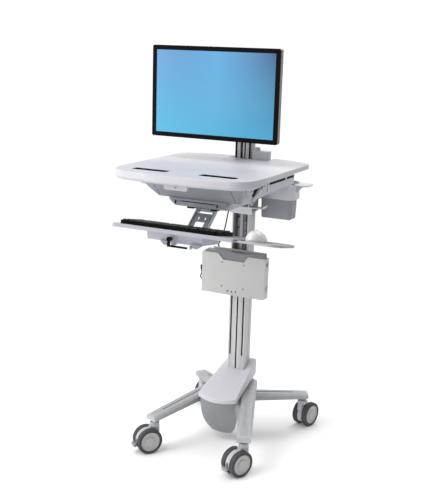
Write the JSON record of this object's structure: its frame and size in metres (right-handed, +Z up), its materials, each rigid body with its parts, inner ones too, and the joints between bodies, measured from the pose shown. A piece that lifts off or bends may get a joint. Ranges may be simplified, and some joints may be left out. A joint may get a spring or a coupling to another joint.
{
  "type": "medication cart",
  "caption": "Wheeled point-of-care cart with a lifting worktop, a display on an arm, a keyboard tray with mouse shelf, a computer holder and a side bin.",
  "frame": {"origin": "middle of the whole cart's bounding box in plan, on the floor", "axes": "+X to the user's right, +Y to the rear, away from the user, +Z up"},
  "size_m": [0.6804, 0.8274, 1.5415],
  "materials": {
    "legs": "satin",
    "cast_frame": "satin",
    "steel": "brushed",
    "white_plastic": "fine grained",
    "grey_plastic": "satin",
    "column": "anodised",
    "post": "anodised dark",
    "arm_paint": "satin",
    "tray_plastic": "fine grained",
    "riser": "anodised dark",
    "painted_steel": "satin",
    "client_plastic": "fine grained",
    "black_plastic": "satin",
    "keycap_plastic": "satin",
    "cable": "matt",
    "fork_plastic": "satin",
    "tyre": "matt",
    "wheel_hub": "satin",
    "pedal_plastic": "satin",
    "case_plastic": "fine grained",
    "light_plastic": "fine grained",
    "bin_plastic": "satin",
    "bin_holder": "satin",
    "lock_metal": "brushed",
    "arm_metal": "satin",
    "display_casing": "fine grained",
    "screen": "glossy",
    "mouse_plastic": "glossy"
  },
  "bodies": {
    "base": {"base_hub": "cast_frame", "front_left_leg": "legs", "front_right_leg": "legs", "rear_left_leg": "legs", "rear_right_leg": "legs", "caster_stems": "steel", "base_cover": "white_plastic", "base_tub": "grey_plastic", "column": "column", "holder_pan": "painted_steel", "thin_client": "client_plastic", "holder_bracket": "painted_steel", "power_plug": "black_plastic", "power_cable": "cable", "data_cable": "cable"},
    "front_left_caster": {"front_left_caster_fork": "fork_plastic"},
    "front_left_wheels": {"front_left_caster_tyres": "tyre", "front_left_caster_hubs": "wheel_hub"},
    "front_left_pedal": {"front_left_brake_pedal": "pedal_plastic"},
    "front_right_caster": {"front_right_caster_fork": "fork_plastic"},
    "front_right_wheels": {"front_right_caster_tyres": "tyre", "front_right_caster_hubs": "wheel_hub"},
    "front_right_pedal": {"front_right_brake_pedal": "pedal_plastic"},
    "rear_left_caster": {"rear_left_caster_fork": "fork_plastic"},
    "rear_left_wheels": {"rear_left_caster_tyres": "tyre", "rear_left_caster_hubs": "wheel_hub"},
    "rear_right_caster": {"rear_right_caster_fork": "fork_plastic"},
    "rear_right_wheels": {"rear_right_caster_tyres": "tyre", "rear_right_caster_hubs": "wheel_hub"},
    "head": {"riser": "riser", "head_bracket": "cast_frame", "worktop": "white_plastic", "grip_liners": "black_plastic", "upper_case": "case_plastic", "lower_case": "case_plastic", "side_panels": "light_plastic", "side_bosses": "light_plastic", "cable_hook": "bin_holder", "display_post": "post", "side_block": "light_plastic", "arm_track": "black_plastic", "bin_holder": "bin_holder"},
    "lock": {"lock_cylinder": "lock_metal"},
    "display_carriage": {"arm_carriage": "arm_metal"},
    "display_link": {"arm_link": "arm_metal"},
    "display_knuckle": {"swivel_knuckle": "arm_metal"},
    "display": {"mounting_plate": "arm_metal", "display_back": "display_casing", "display_bezel": "black_plastic", "display_screen": "screen"},
    "keyboard_slider": {"arm_slider": "arm_paint"},
    "keyboard_arm": {"keyboard_arm": "arm_paint"},
    "keyboard_tray": {"tray_bracket": "arm_paint", "keyboard_tray": "tray_plastic", "keyboard_base": "black_plastic", "keycaps": "keycap_plastic"},
    "tilt_knob": {"tilt_knob": "black_plastic"},
    "mouse_shelf": {"mouse_shelf": "tray_plastic", "mouse": "mouse_plastic"},
    "bin": {"side_bin": "bin_plastic"}
  },
  "joints": [
    {"name": "front_left_caster_swivel", "type": "hinge", "parent": "base", "child": "front_left_caster", "pos_m": [-0.23575, -0.16567, 0.12], "axis": [0, 0, 1], "continuous": true},
    {"name": "front_left_wheel_roll", "type": "hinge", "parent": "front_left_caster", "child": "front_left_wheels", "pos_m": [-0.2535, -0.18923, 0.05], "axis": [0.7986, -0.6018, 0], "continuous": true},
    {"name": "front_left_brake", "type": "hinge", "parent": "front_left_caster", "child": "front_left_pedal", "pos_m": [-0.27065, -0.21199, 0.04], "axis": [0.7986, -0.6018, 0], "range_deg": [0, 12]},
    {"name": "front_right_caster_swivel", "type": "hinge", "parent": "base", "child": "front_right_caster", "pos_m": [0.14425, -0.16567, 0.12], "axis": [0, 0, 1], "continuous": true},
    {"name": "front_right_wheel_roll", "type": "hinge", "parent": "front_right_caster", "child": "front_right_wheels", "pos_m": [0.13132, -0.19218, 0.05], "axis": [0.8988, -0.4384, 0], "continuous": true},
    {"name": "front_right_brake", "type": "hinge", "parent": "front_right_caster", "child": "front_right_pedal", "pos_m": [0.11882, -0.2178, 0.04], "axis": [0.8988, -0.4384, 0], "range_deg": [0, 12]},
    {"name": "rear_left_caster_swivel", "type": "hinge", "parent": "base", "child": "rear_left_caster", "pos_m": [-0.27775, 0.32933, 0.12], "axis": [0, 0, 1], "continuous": true},
    {"name": "rear_left_wheel_roll", "type": "hinge", "parent": "rear_left_caster", "child": "rear_left_wheels", "pos_m": [-0.27011, 0.35783, 0.05], "axis": [-0.9659, 0.2588, 0], "continuous": true},
    {"name": "rear_right_caster_swivel", "type": "hinge", "parent": "base", "child": "rear_right_caster", "pos_m": [0.18625, 0.32933, 0.12], "axis": [0, 0, 1], "continuous": true},
    {"name": "rear_right_wheel_roll", "type": "hinge", "parent": "rear_right_caster", "child": "rear_right_wheels", "pos_m": [0.19389, 0.35783, 0.05], "axis": [-0.9659, 0.2588, 0], "continuous": true},
    {"name": "head_lift", "type": "slide", "parent": "base", "child": "head", "axis": [0, 0, 1], "range_m": [0, 0.3]},
    {"name": "lock_turn", "type": "hinge", "parent": "head", "child": "lock", "pos_m": [-0.04575, -0.38367, 1.084], "axis": [0, -1, 0], "range_deg": [0, 90]},
    {"name": "display_height", "type": "slide", "parent": "head", "child": "display_carriage", "axis": [0, 0, 1], "range_m": [-0.02, 0.07]},
    {"name": "display_swing", "type": "hinge", "parent": "display_carriage", "child": "display_link", "pos_m": [-0.04575, 0.12233, 1.365], "axis": [0, 0, 1], "range_deg": [-20, 20]},
    {"name": "display_turn", "type": "hinge", "parent": "display_link", "child": "display_knuckle", "pos_m": [-0.08575, 0.07233, 1.395], "axis": [0, 0, 1], "range_deg": [-25, 25]},
    {"name": "display_tilt", "type": "hinge", "parent": "display_knuckle", "child": "display", "pos_m": [-0.08575, 0.03633, 1.395], "axis": [1, 0, 0], "range_deg": [-20, 5]},
    {"name": "keyboard_stow", "type": "slide", "parent": "head", "child": "keyboard_slider", "axis": [0, 1, 0], "range_m": [0, 0.13]},
    {"name": "keyboard_height", "type": "hinge", "parent": "keyboard_slider", "child": "keyboard_arm", "pos_m": [-0.04575, -0.14367, 0.966], "axis": [1, 0, 0], "range_deg": [-8, 10]},
    {"name": "tray_tilt", "type": "hinge", "parent": "keyboard_arm", "child": "keyboard_tray", "pos_m": [-0.04575, -0.31567, 0.881], "axis": [1, 0, 0], "range_deg": [-6, 12]},
    {"name": "tilt_knob_turn", "type": "hinge", "parent": "keyboard_tray", "child": "tilt_knob", "pos_m": [-0.05775, -0.39195, 0.90875], "axis": [0, 0.9816, -0.1908], "range_deg": [0, 60]},
    {"name": "mouse_shelf_pull", "type": "slide", "parent": "keyboard_tray", "child": "mouse_shelf", "axis": [1, 0, 0], "range_m": [0, 0.03]},
    {"name": "bin_lift", "type": "slide", "parent": "head", "child": "bin", "axis": [0, 0, 1], "range_m": [0, 0.06]}
  ]
}
